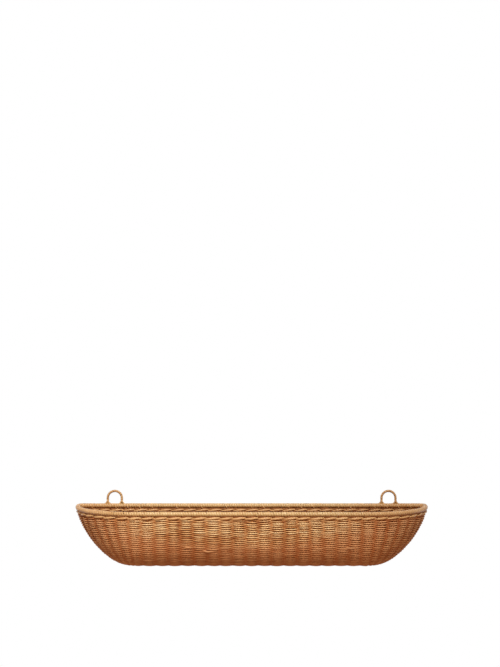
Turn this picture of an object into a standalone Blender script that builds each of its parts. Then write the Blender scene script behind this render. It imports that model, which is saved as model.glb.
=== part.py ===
"""A long, low wall basket of woven rattan, hung by two loops on its back rim.

The basket is built as a basket maker builds it. Stakes stand side by side round the
whole body. Most of them run down the front, under the base and up the back wall as one
bent rod, and at both ends they fan in to the ends of the base. Fine weavers pass in
front of one stake and behind the next, so the wall has an outer and an inner face of
weaving with the stakes between them, and between two stakes both faces dip to the wall's
middle, where the weavers cross over. A row of two twined strands closes the weaving, and
above it lies the rim: a rod bent to the shape of the mouth, wrapped in cane. Two bent
cane loops, wound with a flat strip, stand in the back rim.

Metres, +Z up. The wall behind the basket is the plane y = 0, the basket stands out
towards -Y, and the origin lies midway between the loops, at the height where two hooks
carry them.
"""

import math

import bmesh
import bpy
from mathutils import Vector

# The body
OVERALL_WIDTH = 0.800
RIM_SPAN = 0.152          # from the back rim's centre line to the front rim's
BODY_DROP = 0.122         # from the rim's centre line to the middle of the base's wall
FRONT_LENGTH = 0.510      # the straight run of the front
BASE_SPAN = 0.075         # depth of the flat base, measured like the rim's span
BASE_END_REACH = 0.042    # the base's reach past the straight front, at each end
EDGE_RADIUS = 0.012       # round between the back wall and the rest of the body
END_POWER = 1.5           # fullness of the ends' curve, seen from the front
FRONT_POWER = 2.2         # fullness of the front's curve, seen from the side

# The wall: stakes between two faces of weaving
STAKE_RADIUS = 0.0015
WEAVE_THICKNESS = 0.0020  # of a weaver, and so of each face of weaving on a stake
CLEARANCE = 0.0003

# The rim and the twined row under it
ROD_RADIUS = 0.0038
WRAP_THICKNESS = 0.00115
STRAND_RADIUS = 0.0016

# The hanging loops
LOOP_INSET = 0.087        # from the basket's end to the middle of a loop
LOOP_BEND_RADIUS = 0.016
LOOP_STAND = 0.0175       # height of the bend's centre over the rim's centre line
CORE_RADIUS = 0.0013
STRIP_WIDTH = 0.0040
STRIP_THICKNESS = 0.0009
STRIP_EDGE_SHARE = 0.5    # the strip's edges are this much of its thickness

# How many of each
STRAIGHT_STAKES = 19
FAN_STAKES = 7
SIDE_STAKES = 4
STRIP_TURNS = 12

# Facets
PROFILE_STEPS = 8
EDGE_STEPS = 4
RIM_END_STEPS = 10
STAKE_SIDES = 6
ROD_SIDES = 8
RIM_SIDES = 12
STRAND_SIDES = 6
BEND_STEPS = 10
POINTS_PER_TURN = 8
PROFILE_POWER = 1.8       # spreads the profile's facets evenly round its bend
NUDGE_SHARE = 0.001       # step for measuring a direction on the wall, of a quarter turn

# Worked out from the sizes above
QUARTER_TURN = math.pi / 2
FRONT_HALF = FRONT_LENGTH / 2
RIM_RADIUS = ROD_RADIUS + CLEARANCE + WRAP_THICKNESS
LOOP_RADIUS = CORE_RADIUS + CLEARANCE + STRIP_THICKNESS
LOOP_MIDDLE = OVERALL_WIDTH / 2 - LOOP_INSET
RIM_Z = LOOP_RADIUS - LOOP_BEND_RADIUS - LOOP_STAND
BASE_Z = RIM_Z - BODY_DROP
BACK_Y = -RIM_RADIUS
RIM_END_REACH = OVERALL_WIDTH / 2 - RIM_RADIUS - FRONT_HALF
FACE_NEAR = STAKE_RADIUS + CLEARANCE
FACE_FAR = FACE_NEAR + WEAVE_THICKNESS
DIP_NEAR = CLEARANCE / 2
DIP_FAR = WEAVE_THICKNESS / 2

# The twined row passes the stakes by its swing and crosses itself by its lift
STRAND_SWING = STAKE_RADIUS + CLEARANCE + STRAND_RADIUS
STRAND_LIFT = STRAND_RADIUS + CLEARANCE
STAKE_TOP_DROP = RIM_RADIUS + CLEARANCE
TWINE_DROP = RIM_RADIUS + CLEARANCE + STRAND_LIFT + STRAND_RADIUS
WEAVE_TOP_DROP = TWINE_DROP + STRAND_LIFT + STRAND_RADIUS + CLEARANCE

# Runs round the basket, from the middle of the front to the middle of the back
END_RADIUS = (RIM_END_REACH + RIM_SPAN - EDGE_RADIUS) / 2
END_RUN = FRONT_HALF
EDGE_RUN = END_RUN + END_RADIUS * QUARTER_TURN
BACK_RUN = EDGE_RUN + EDGE_RADIUS * QUARTER_TURN
CORNER_RUN = EDGE_RUN + EDGE_RADIUS * QUARTER_TURN / 2
BACK_HALF = FRONT_HALF + RIM_END_REACH - EDGE_RADIUS
STAKE_PITCH = FRONT_LENGTH / (STRAIGHT_STAKES - 1)
FAN_PITCH = (CORNER_RUN - FRONT_HALF) / (FAN_STAKES + 1)
SEAM_X = FRONT_HALF - STAKE_PITCH / 2

# Colours: base colour and roughness
WEAVE_COLOUR = (0.42, 0.20, 0.075, 1.0)
STAKE_COLOUR = (0.36, 0.17, 0.065, 1.0)
CANE_COLOUR = (0.62, 0.37, 0.16, 1.0)
ROD_COLOUR = (0.46, 0.27, 0.12, 1.0)
RATTAN_ROUGHNESS = 0.55


def clear_scene():
    """Remove whatever the scene holds."""
    for item in list(bpy.data.objects):
        bpy.data.objects.remove(item, do_unlink=True)


def rattan(name, colour):
    """A plain satin rattan material."""
    material = bpy.data.materials.new(name)
    material.use_nodes = True
    shader = material.node_tree.nodes["Principled BSDF"]
    shader.inputs["Base Color"].default_value = colour
    shader.inputs["Roughness"].default_value = RATTAN_ROUGHNESS
    shader.inputs["Metallic"].default_value = 0.0
    material.diffuse_color = colour
    return material


def add_object(name, points, faces, colour, smooth=True):
    """Make one closed solid, facing out, as an object of its own."""
    mesh = bpy.data.meshes.new(name)
    mesh.from_pydata([tuple(point) for point in points], [], faces)
    builder = bmesh.new()
    builder.from_mesh(mesh)
    if builder.calc_volume(signed=True) < 0:
        bmesh.ops.reverse_faces(builder, faces=builder.faces)
    builder.to_mesh(mesh)
    builder.free()
    if smooth:
        mesh.shade_smooth()
        mesh.set_sharp_from_angle(angle=QUARTER_TURN / 2)
    mesh.materials.append(rattan(name, colour))
    solid = bpy.data.objects.new(name, mesh)
    bpy.context.collection.objects.link(solid)
    return solid


# The shape of the wall


def bulge(share, power):
    """Height of a superellipse of unit size at a share of its width."""
    return max(0.0, 1 - share ** power) ** (1 / power)


def level_at(angle):
    """Share of the drop below the rim at a profile angle from rim to base."""
    return math.sin(angle) ** (2 / PROFILE_POWER)


def angle_at(drop):
    """Profile angle at a drop below the rim."""
    return math.asin((drop / BODY_DROP) ** (PROFILE_POWER / 2))


def end_reach(angle):
    """How far the end stands out past the straight front."""
    return BASE_END_REACH + (RIM_END_REACH - BASE_END_REACH) * bulge(level_at(angle), END_POWER)


def front_span(angle):
    """Depth from the back wall to the front wall."""
    return BASE_SPAN + (RIM_SPAN - BASE_SPAN) * bulge(level_at(angle), FRONT_POWER)


def height(angle):
    """Height of the wall's middle."""
    return RIM_Z - BODY_DROP * level_at(angle)


def edge_point(angle):
    """Corner of the back wall, before its rounding."""
    return Vector((FRONT_HALF + end_reach(angle), BACK_Y, height(angle)))


def edge_direction(angle):
    """Outward direction of the back wall's outline, in its own plane."""
    step = NUDGE_SHARE * QUARTER_TURN
    along = edge_point(min(angle + step, QUARTER_TURN)) - edge_point(max(angle - step, 0.0))
    return Vector((-along.z, 0.0, along.x)).normalized()


def round_edge(corner, outward, turn):
    """Point and direction on the rounded edge between the body and the back wall."""
    sideways = outward * (EDGE_RADIUS * (1 - math.cos(turn)))
    back = Vector((0.0, EDGE_RADIUS * (1 - math.sin(turn)), 0.0))
    direction = outward * math.cos(turn) + Vector((0.0, math.sin(turn), 0.0))
    return corner - sideways - back, direction


def end_point(turn, angle):
    """Point on the right end, from its front (quarter turn) round to its side (zero)."""
    depth = EDGE_RADIUS + (front_span(angle) - EDGE_RADIUS) * math.sin(turn)
    reach = FRONT_HALF + end_reach(angle) * math.cos(turn)
    return Vector((reach, BACK_Y - depth, height(angle)))


def end_direction(turn, angle):
    """Outward direction of the right end."""
    step = NUDGE_SHARE * QUARTER_TURN
    round_it = end_point(turn - step, angle) - end_point(turn + step, angle)
    down = end_point(turn, min(angle + step, QUARTER_TURN)) - end_point(turn, max(angle - step, 0.0))
    return down.cross(round_it).normalized()


def front_place(x, angle):
    """Point and outward direction on the straight front."""
    step = NUDGE_SHARE * QUARTER_TURN
    low = min(angle + step, QUARTER_TURN)
    high = max(angle - step, 0.0)
    inward = front_span(high) - front_span(low)
    down = height(high) - height(low)
    point = Vector((x, BACK_Y - front_span(angle), height(angle)))
    return point, Vector((0.0, -down, -inward)).normalized()


def edge_frame(angle, level):
    """Corner of the back wall and its outward direction, laid level or along the outline."""
    outward = Vector((1.0, 0.0, 0.0)) if level else edge_direction(angle)
    return edge_point(angle), outward


def wall_place(run, angle, level=False):
    """Point and outward direction on the middle of the wall, in a level plane if asked."""
    side = math.copysign(1.0, run)
    run = abs(run)
    if run <= END_RUN:
        point, outward = front_place(run, angle)
    elif run <= EDGE_RUN:
        turn = QUARTER_TURN - (run - END_RUN) / END_RADIUS
        point, outward = end_point(turn, angle), end_direction(turn, angle)
    elif run <= BACK_RUN:
        turn = (run - EDGE_RUN) / EDGE_RADIUS
        point, outward = round_edge(*edge_frame(angle, level), turn)
    else:
        point = Vector((BACK_HALF - (run - BACK_RUN), BACK_Y, height(angle)))
        outward = Vector((0.0, 1.0, 0.0))
    if level:
        outward = Vector((outward.x, outward.y, 0.0)).normalized()
    return Vector((side * point.x, point.y, point.z)), Vector((side * outward.x, outward.y, outward.z))


def level_place(run, angle):
    """The same place, seen in a level plane."""
    return wall_place(run, angle, True)


def base_edge_place(x, turn):
    """Point and direction on the rounded edge between the base and the back wall."""
    return round_edge(Vector((x, BACK_Y, BASE_Z)), Vector((0.0, 0.0, -1.0)), turn)


def profile_angles():
    """Profile angles of the weaving's facets, from its top row to the base."""
    top = angle_at(WEAVE_TOP_DROP)
    return [top + (QUARTER_TURN - top) * step / PROFILE_STEPS for step in range(PROFILE_STEPS + 1)]


def edge_turns():
    """Turns of the facets round the back wall's edge."""
    return [QUARTER_TURN * step / EDGE_STEPS for step in range(EDGE_STEPS + 1)]


# Stakes and other rods


def ring(centre, first, second, radius, sides):
    """Points of a regular ring."""
    turns = [2 * math.pi * side / sides for side in range(sides)]
    return [centre + (first * math.cos(turn) + second * math.sin(turn)) * radius for turn in turns]


def tube_faces(rings, sides, closed):
    """Faces that join rings of points into a closed tube or a closed hoop."""
    faces = []
    count = rings if closed else rings - 1
    for step in range(count):
        low = step * sides
        high = (step + 1) % rings * sides
        for side in range(sides):
            after = (side + 1) % sides
            faces.append((low + side, low + after, high + after, high + side))
    if not closed:
        faces.append(tuple(reversed(range(sides))))
        faces.append(tuple(range((rings - 1) * sides, rings * sides)))
    return faces


def add_stake(name, places, radius=STAKE_RADIUS):
    """A round rod through places that each hold a point and the wall's outward direction."""
    points = []
    for step, (centre, outward) in enumerate(places):
        before = places[max(step - 1, 0)][0]
        after = places[min(step + 1, len(places) - 1)][0]
        across = (after - before).cross(outward).normalized()
        points += ring(centre, outward, across, radius, STAKE_SIDES)
    return add_object(name, points, tube_faces(len(places), STAKE_SIDES, False), STAKE_COLOUR)


def stake_front(run):
    """Places down the wall, from under the rim to the base."""
    top = [level_place(run, angle_at(STAKE_TOP_DROP))]
    first, *rest = profile_angles()
    return top + [level_place(run, first)] + [wall_place(run, angle) for angle in rest]


def add_straight_stakes():
    """Rods that run down the front, under the base and up the back wall."""
    for number in range(STRAIGHT_STAKES):
        x = number * STAKE_PITCH - FRONT_HALF
        up_back = [base_edge_place(x, turn) for turn in edge_turns()]
        top = (Vector((x, BACK_Y, RIM_Z - STAKE_TOP_DROP)), Vector((0.0, 1.0, 0.0)))
        add_stake(f"straight_stake_{number + 1:02d}", stake_front(x) + up_back + [top])


def add_fan_stakes():
    """Rods that fan round the ends, and one in each back corner."""
    for side, label in ((-1, "left"), (1, "right")):
        for number in range(FAN_STAKES):
            run = FRONT_HALF + (number + 1) * FAN_PITCH
            add_stake(f"{label}_fan_stake_{number + 1}", stake_front(side * run))
        add_stake(f"{label}_corner_stake", stake_front(side * CORNER_RUN))


def back_outline(inset=0.0):
    """Right-hand outline of the flat back wall, from the weaving's top to its base."""
    angles = profile_angles()
    places = [edge_frame(angle, angle == angles[0]) for angle in angles]
    return [corner - outward * (EDGE_RADIUS + inset) for corner, outward in places]


def back_floor(x):
    """Height of the flat back wall's lower outline at a distance from the middle."""
    outline = back_outline()
    for upper, lower in zip(outline, outline[1:]):
        if lower.x <= x <= upper.x:
            share = (upper.x - x) / (upper.x - lower.x)
            return upper.z + (lower.z - upper.z) * share
    return outline[-1].z


def side_stake_x(number):
    """Distance of a side stake of the back wall from the middle."""
    corner = wall_place(CORNER_RUN, 0.0)[0].x
    return FRONT_HALF + (corner - FRONT_HALF) * (number + 1) / (SIDE_STAKES + 1)


def add_side_stakes():
    """Upright rods of the back wall beyond the straight stakes."""
    outward = Vector((0.0, 1.0, 0.0))
    for side, label in ((-1, "left"), (1, "right")):
        for number in range(SIDE_STAKES):
            x = side_stake_x(number)
            foot = back_floor(x + STAKE_RADIUS) + CLEARANCE
            top = Vector((side * x, BACK_Y, RIM_Z - STAKE_TOP_DROP))
            bottom = Vector((side * x, BACK_Y, foot))
            add_stake(f"{label}_side_stake_{number + 1}", [(top, outward), (bottom, outward)])


# The two faces of weaving


def add_face(name, places, faces, side):
    """A sheet of weaving outside (side 1) or inside (side -1) the stakes.

    Each place holds a point, a direction and a dip: nought where the sheet lies as on a
    stake, and one where it reaches the wall's middle, midway between two stakes.
    """
    points = []
    for on_stake, between in ((FACE_NEAR, DIP_NEAR), (FACE_FAR, DIP_FAR)):
        points += [point + outward * (side * (on_stake + (between - on_stake) * dip))
                   for point, outward, dip in places]
    count = len(places)
    edges = set()
    for face in faces:
        for start, end in zip(face, face[1:] + face[:1]):
            if (end, start) in edges:
                edges.remove((end, start))
            else:
                edges.add((start, end))
    solid = [tuple(index + count for index in face) for face in faces]
    solid += [tuple(reversed(face)) for face in faces]
    solid += [(start, end, end + count, start + count) for start, end in sorted(edges)]
    return add_object(name, points, solid, WEAVE_COLOUR)


def grid_faces(rows, columns, first=0):
    """Faces of a grid of places, stored row by row."""
    faces = []
    for row in range(rows - 1):
        for column in range(columns - 1):
            corner = first + row * columns + column
            faces.append((corner, corner + columns, corner + columns + 1, corner + 1))
    return faces


def dipped(place, dip):
    """A place with its dip between the stakes."""
    return place[0], place[1], dip


def weave_place(run, angle):
    """A place on the weaving, whose top row ends level."""
    if angle == profile_angles()[0]:
        return level_place(run, angle)
    return wall_place(run, angle)


def add_front_face(name, xs, dips, side):
    """Weaving of the straight front, the base and the edge under the back wall.

    The dips run down the front and under the base, and end at the flat back wall.
    """
    places = []
    for angle in profile_angles():
        places += [dipped(weave_place(x, angle), dip) for x, dip in zip(xs, dips)]
    for turn in edge_turns():
        depth = 0 if turn == QUARTER_TURN else 1
        places += [dipped(base_edge_place(x, turn), depth * dip) for x, dip in zip(xs, dips)]
    rows = PROFILE_STEPS + 1 + EDGE_STEPS + 1
    return add_face(name, places, grid_faces(rows, len(xs)), side)


def add_end_face(name, end, runs, dips, side):
    """Weaving of the left end (-1) or the right (1), with its part of the base and edge.

    The grid of the end comes first, then the grid of the edge, which runs down the back
    wall's outline and in along the base, past the last straight stake, to the seam with
    the front. The dips stop at the base's outline, but for the one along the seam.
    """
    angles = profile_angles()
    places = []
    for angle in angles:
        kept = [1] + [0 if angle == angles[-1] else 1] * (len(runs) - 1)
        places += [dipped(weave_place(end * run, angle), depth * dip)
                   for run, depth, dip in zip(runs, kept, dips)]
    columns = len(runs)
    faces = grid_faces(len(angles), columns)
    edge_start = len(places)
    turns = edge_turns()[1:]
    for turn in turns:
        run = EDGE_RUN + EDGE_RADIUS * turn
        places += [dipped(weave_place(end * run, angle), 0.0) for angle in angles]
    stake_start = len(places)
    places += [dipped(base_edge_place(end * runs[1], turn), dips[1]) for turn in edge_turns()]
    seam_start = len(places)
    places += [dipped(base_edge_place(end * runs[0], turn), 0.0 if turn == QUARTER_TURN else dips[0])
               for turn in edge_turns()]
    side_column = [row * columns + columns - 1 for row in range(len(angles))]
    lines = [side_column + [stake_start, seam_start]]
    for step in range(len(turns)):
        first = edge_start + step * len(angles)
        lines.append(list(range(first, first + len(angles))) + [stake_start + step + 1, seam_start + step + 1])
    for line, after in zip(lines, lines[1:]):
        for spot in range(len(line) - 1):
            faces.append((line[spot], line[spot + 1], after[spot + 1], after[spot]))
    bottom = (len(angles) - 1) * columns
    faces.append((stake_start,) + tuple(reversed(range(bottom + 1, bottom + columns))))
    faces.append((seam_start, stake_start, bottom + 1, bottom))
    return add_face(name, places, faces, side)


def add_back_face(name, side):
    """Flat weaving of the back wall, inside the rounded edge."""
    outward = Vector((0.0, 1.0, 0.0))
    right = back_outline(CLEARANCE)
    left = [Vector((-point.x, point.y, point.z)) for point in reversed(right)]
    places = [(point, outward, 0.0) for point in right + left]
    return add_face(name, places, [tuple(range(len(places)))], side)


def weave_stations():
    """Runs of the weaving's facets, on each stake and midway between two, and their dips."""
    front = [step * STAKE_PITCH / 2 - SEAM_X for step in range(2 * STRAIGHT_STAKES - 3)]
    front_dips = [1 - step % 2 for step in range(len(front))]
    front[0] += CLEARANCE / 2
    front[-1] -= CLEARANCE / 2
    end = [SEAM_X + CLEARANCE / 2, FRONT_HALF]
    end += [FRONT_HALF + FAN_PITCH * step / 2 for step in range(1, 2 * FAN_STAKES + 1)]
    end_dips = [1 - step % 2 for step in range(len(end))]
    return front, front_dips, end + [EDGE_RUN], end_dips + [0]


def add_weaving():
    """Outer and inner faces of the front, the ends and the back."""
    front, front_dips, end_runs, end_dips = weave_stations()
    for side, face in ((1, "outside"), (-1, "inside")):
        add_front_face(f"front_weave_{face}", front, front_dips, side)
        for end, label in ((-1, "left"), (1, "right")):
            add_end_face(f"{label}_end_weave_{face}", end, end_runs, end_dips, side)
        add_back_face(f"back_weave_{face}", side)


# The twined row


def stake_runs():
    """Runs of all stakes round the basket, in order from the middle of the front."""
    half = [number * STAKE_PITCH for number in range((STRAIGHT_STAKES + 1) // 2)]
    half += [FRONT_HALF + (number + 1) * FAN_PITCH for number in range(FAN_STAKES)]
    half.append(CORNER_RUN)
    back = [side_stake_x(number) for number in reversed(range(SIDE_STAKES))]
    back += [FRONT_HALF - number * STAKE_PITCH for number in range((STRAIGHT_STAKES + 1) // 2)]
    half += [BACK_RUN + BACK_HALF - x for x in back]
    return half + [-run for run in reversed(half[1:-1])]


def twine_places():
    """Places of the twined row on each stake and midway to the next one."""
    runs = stake_runs()
    angle = angle_at(TWINE_DROP)
    round_trip = 2 * (BACK_RUN + BACK_HALF)
    places = []
    for run, after in zip(runs, runs[1:] + runs[:1]):
        if after < 0 <= run:
            after += round_trip
        between = (run + after) / 2
        if between > round_trip / 2:
            between -= round_trip
        places.append(level_place(run, angle))
        places.append(level_place(between, angle))
    return places


def add_twined_row():
    """Two strands that pass each stake on opposite sides and cross between stakes.

    Seen from outside, a strand comes up from the left, covers its stake and goes on
    up to the right before it turns in behind the next one.
    """
    up = Vector((0.0, 0.0, 1.0))
    places = twine_places()
    for strand, label in ((1, "first"), (-1, "second")):
        points = []
        for step, (centre, outward) in enumerate(places):
            side = strand * (1 if step // 2 % 2 == 0 else -1)
            swing = outward * (STRAND_SWING * side) if step % 2 == 0 else up * (STRAND_LIFT * side)
            points += ring(centre + swing, outward, up, STRAND_RADIUS, STRAND_SIDES)
        faces = tube_faces(len(places), STRAND_SIDES, True)
        add_object(f"{label}_twining_strand", points, faces, CANE_COLOUR)


# The rim


def rim_places():
    """Places along the rim, once round the mouth."""
    half = [END_RUN + (EDGE_RUN - END_RUN) * step / RIM_END_STEPS for step in range(RIM_END_STEPS)]
    half += [EDGE_RUN + EDGE_RADIUS * turn for turn in edge_turns()]
    runs = half + [-run for run in reversed(half)]
    return [level_place(run, 0.0) for run in runs]


def hoop_points(radius, sides):
    """Points of a round hoop along the rim."""
    points = []
    for centre, outward in rim_places():
        points += ring(centre, outward, Vector((0.0, 0.0, 1.0)), radius, sides)
    return points


def loop_leg_xs():
    """Places of the loops' legs along the back rim."""
    middles = (-LOOP_MIDDLE, LOOP_MIDDLE)
    return [middle + leg for middle in middles for leg in (-LOOP_BEND_RADIUS, LOOP_BEND_RADIUS)]


def leg_hole_cutter():
    """Upright pins where the loops' legs pass through the rim's wrapping."""
    radius = CORE_RADIUS + CLEARANCE
    bottom = RIM_Z + ROD_RADIUS - CLEARANCE
    top = RIM_Z + RIM_RADIUS + WRAP_THICKNESS
    forward = Vector((0.0, 1.0, 0.0))
    points = []
    faces = []
    for x in loop_leg_xs():
        start = len(points)
        for z in (bottom, top):
            points += ring(Vector((x, BACK_Y, z)), Vector((1.0, 0.0, 0.0)), forward, radius, ROD_SIDES)
        faces += [tuple(index + start for index in face) for face in tube_faces(2, ROD_SIDES, False)]
    cutter = add_object("leg_hole_cutter", points, faces, CANE_COLOUR, smooth=False)
    cutter.hide_render = True
    cutter.display_type = "WIRE"
    return cutter


def add_rim():
    """The bent rod of the rim, and the cane wrapping round it with the legs' holes."""
    rings = len(rim_places())
    add_object("rim_rod", hoop_points(ROD_RADIUS, ROD_SIDES), tube_faces(rings, ROD_SIDES, True), ROD_COLOUR)
    outer = hoop_points(RIM_RADIUS, RIM_SIDES)
    bore = hoop_points(ROD_RADIUS + CLEARANCE, ROD_SIDES)
    faces = tube_faces(rings, RIM_SIDES, True)
    for face in tube_faces(rings, ROD_SIDES, True):
        faces.append(tuple(index + len(outer) for index in reversed(face)))
    wrapping = add_object("rim_wrapping", outer + bore, faces, CANE_COLOUR)
    holes = wrapping.modifiers.new("leg_holes", "BOOLEAN")
    holes.operation = "DIFFERENCE"
    holes.solver = "EXACT"
    holes.object = leg_hole_cutter()


# The hanging loops


def loop_place(middle, run):
    """Point and outward direction on a loop's centre line, from its left foot upwards."""
    leg = LOOP_STAND - ROD_RADIUS - CLEARANCE
    bend = LOOP_BEND_RADIUS * math.pi
    centre = Vector((middle, BACK_Y, RIM_Z + LOOP_STAND))
    if run <= leg:
        outward = Vector((-1.0, 0.0, 0.0))
        return centre + outward * LOOP_BEND_RADIUS + Vector((0.0, 0.0, run - leg)), outward
    if run <= leg + bend:
        turn = (run - leg) / LOOP_BEND_RADIUS
        outward = Vector((-math.cos(turn), 0.0, math.sin(turn)))
        return centre + outward * LOOP_BEND_RADIUS, outward
    outward = Vector((1.0, 0.0, 0.0))
    return centre + outward * LOOP_BEND_RADIUS + Vector((0.0, 0.0, leg + bend - run)), outward


def loop_length():
    """Length of a loop's centre line between its two feet on the rim's rod."""
    return LOOP_BEND_RADIUS * math.pi + 2 * (LOOP_STAND - ROD_RADIUS - CLEARANCE)


def add_loop_core(name, middle):
    """The bent cane of a loop, whose legs stand on the rim's rod."""
    leg = LOOP_STAND - ROD_RADIUS - CLEARANCE
    bend = loop_length() - 2 * leg
    runs = [0.0] + [leg + bend * step / BEND_STEPS for step in range(BEND_STEPS + 1)] + [loop_length()]
    add_stake(name, [loop_place(middle, run) for run in runs], CORE_RADIUS)


def strip_section(centre, outward, across):
    """Section of the flat strip: level inside, with thinner edges outside."""
    half = STRIP_WIDTH / 2
    edge = STRIP_THICKNESS * STRIP_EDGE_SHARE
    return [
        centre - across * half,
        centre + across * half,
        centre + across * half + outward * edge,
        centre + outward * STRIP_THICKNESS,
        centre - across * half + outward * edge,
    ]


def strip_sections(middle):
    """Sections of the strip wound round a loop, from one foot to the other."""
    forward = Vector((0.0, -1.0, 0.0))
    start = WRAP_THICKNESS + CLEARANCE + STRIP_WIDTH / 2
    length = loop_length() - 2 * start
    count = STRIP_TURNS * POINTS_PER_TURN
    lead = math.atan2(length / STRIP_TURNS, 2 * math.pi * (CORE_RADIUS + CLEARANCE))
    sections = []
    for step in range(count + 1):
        point, outward = loop_place(middle, start + length * step / count)
        along = outward.cross(forward)
        turn = 2 * math.pi * step / POINTS_PER_TURN
        lift = outward * math.cos(turn) + forward * math.sin(turn)
        heading = forward * math.cos(turn) - outward * math.sin(turn)
        across = along * math.cos(lead) - heading * math.sin(lead)
        sections.append(strip_section(point + lift * (CORE_RADIUS + CLEARANCE), lift, across))
    return sections


def least_gap(sections):
    """Least distance between points of the strip that are half a turn or more apart."""
    skip = POINTS_PER_TURN // 2
    gap = math.inf
    for step, section in enumerate(sections):
        for other in sections[step + skip:step + 2 * POINTS_PER_TURN]:
            gap = min(gap, min((a - b).length for a in section for b in other))
    return gap


def add_loop_winding(name, middle):
    """The flat strip of cane wound round a loop, as one unbroken band."""
    sections = strip_sections(middle)
    sides = len(sections[0])
    points = [point for section in sections for point in section]
    add_object(name, points, tube_faces(len(sections), sides, False), CANE_COLOUR)
    print(f"{name}: {STRIP_TURNS} turns, least gap to itself {least_gap(sections) * 1000:.2f} mm")


def add_loops():
    """Two hanging loops on the back rim."""
    for side, label in ((-1, "left"), (1, "right")):
        middle = side * LOOP_MIDDLE
        add_loop_core(f"{label}_loop_core", middle)
        add_loop_winding(f"{label}_loop_winding", middle)


clear_scene()
add_straight_stakes()
add_fan_stakes()
add_side_stakes()
add_weaving()
add_twined_row()
add_rim()
add_loops()
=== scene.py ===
"""Looks of a long, low wall basket of woven rattan, hung by two wound loops.

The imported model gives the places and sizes. Every weaver, strand and strip of cane is
laid here as real geometry, in the order in which the basket is made: stakes, weaving,
twined row, rim, loops. Metres, +Z up, with the wall behind the basket at y = 0.
"""

import bpy
import numpy as np
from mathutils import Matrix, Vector


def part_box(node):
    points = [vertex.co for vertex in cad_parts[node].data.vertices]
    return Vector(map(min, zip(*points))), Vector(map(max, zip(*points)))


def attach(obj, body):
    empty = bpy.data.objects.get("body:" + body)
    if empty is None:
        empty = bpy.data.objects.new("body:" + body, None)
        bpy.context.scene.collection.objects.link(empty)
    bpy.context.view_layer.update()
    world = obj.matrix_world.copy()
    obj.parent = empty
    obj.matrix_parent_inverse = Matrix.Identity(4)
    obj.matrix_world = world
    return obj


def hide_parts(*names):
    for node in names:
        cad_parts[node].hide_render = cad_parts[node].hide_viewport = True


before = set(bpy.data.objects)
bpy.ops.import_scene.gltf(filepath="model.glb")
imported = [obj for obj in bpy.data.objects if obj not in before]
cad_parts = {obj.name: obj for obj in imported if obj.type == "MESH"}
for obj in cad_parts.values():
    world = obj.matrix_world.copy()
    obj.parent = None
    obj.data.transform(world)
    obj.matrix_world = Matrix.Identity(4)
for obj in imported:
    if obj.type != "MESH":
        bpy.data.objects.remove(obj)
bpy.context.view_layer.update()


# Stakes
# Round rattan rods that stand side by side round the whole body. Most of them run down
# the front, under the base and up the back; at the ends they fan in to the base. Their
# places follow the shape of the wall, so that shape comes first.

QUARTER_TURN = np.pi / 2
UP = np.array([0.0, 0.0, 1.0])
BACKWARD = np.array([0.0, 1.0, 0.0])
LEVEL = np.array([1.0, 1.0, 0.0])     # times this, a direction loses its height

rim_low, rim_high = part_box("rim_wrapping")
stake_low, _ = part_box("straight_stake_01")
last_low, last_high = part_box("straight_stake_19")

RIM_RADIUS = (rim_high.z - rim_low.z) / 2
RIM_Z = (rim_high.z + rim_low.z) / 2
BACK_Y = rim_high.y - RIM_RADIUS
RIM_SPAN = rim_high.y - rim_low.y - 2 * RIM_RADIUS
FRONT_HALF = (last_low.x + last_high.x) / 2
RIM_END_REACH = rim_high.x - RIM_RADIUS - FRONT_HALF
STAKE_RADIUS = 0.0015
BASE_Z = stake_low.z + STAKE_RADIUS
BODY_DROP = RIM_Z - BASE_Z
BASE_SPAN = 0.075
BASE_END_REACH = 0.039
EDGE_RADIUS = 0.012
END_POWER = 1.5           # fullness of the ends' curve, seen from the front
FRONT_POWER = 2.2         # fullness of the front's curve, seen from the side
PROFILE_POWER = 1.8

STRAIGHT_GAPS = 9         # gaps between stakes from the middle to the end of the front
FAN_GAPS = 8
SIDE_GAPS = 5
END_RADIUS = (RIM_END_REACH + RIM_SPAN - EDGE_RADIUS) / 2
EDGE_RUN = FRONT_HALF + END_RADIUS * QUARTER_TURN
BACK_RUN = EDGE_RUN + EDGE_RADIUS * QUARTER_TURN
CORNER_RUN = EDGE_RUN + EDGE_RADIUS * QUARTER_TURN / 2
CORNER_X = FRONT_HALF + RIM_END_REACH - EDGE_RADIUS * (1 - np.cos(QUARTER_TURN / 2))
STAKE_PITCH = FRONT_HALF / STRAIGHT_GAPS
FAN_PITCH = (CORNER_RUN - FRONT_HALF) / FAN_GAPS
CORNER_NUMBER = STRAIGHT_GAPS + FAN_GAPS
TURN_SIGN = (-1) ** (FAN_GAPS - SIDE_GAPS)    # makes front and back agree at the corner stake

DEPTH_STEP = 0.0005
TWINE_DROP = 0.0089       # from the rim's centre line to the twined row's
WEAVE_TOP_DROP = 0.0120
LEVEL_BLEND = 0.08        # depth over which the edge's rounding leaves the level
SETTLE_RUN = 0.035        # a round settles to its height on the back wall over this run


def unit(vectors):
    """The same directions, each of length one."""
    return vectors / np.linalg.norm(vectors, axis=-1, keepdims=True)


def beside(*columns):
    """Columns of numbers side by side; a single number stands for a whole column."""
    return np.stack(np.broadcast_arrays(*columns), axis=-1)


def ease(share):
    """A share that starts and ends gently."""
    return share * share * (3 - 2 * share)


def bulge(share, power):
    """Height of a superellipse of unit size at a share of its width."""
    return np.maximum(0.0, 1 - share ** power) ** (1 / power)


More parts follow.
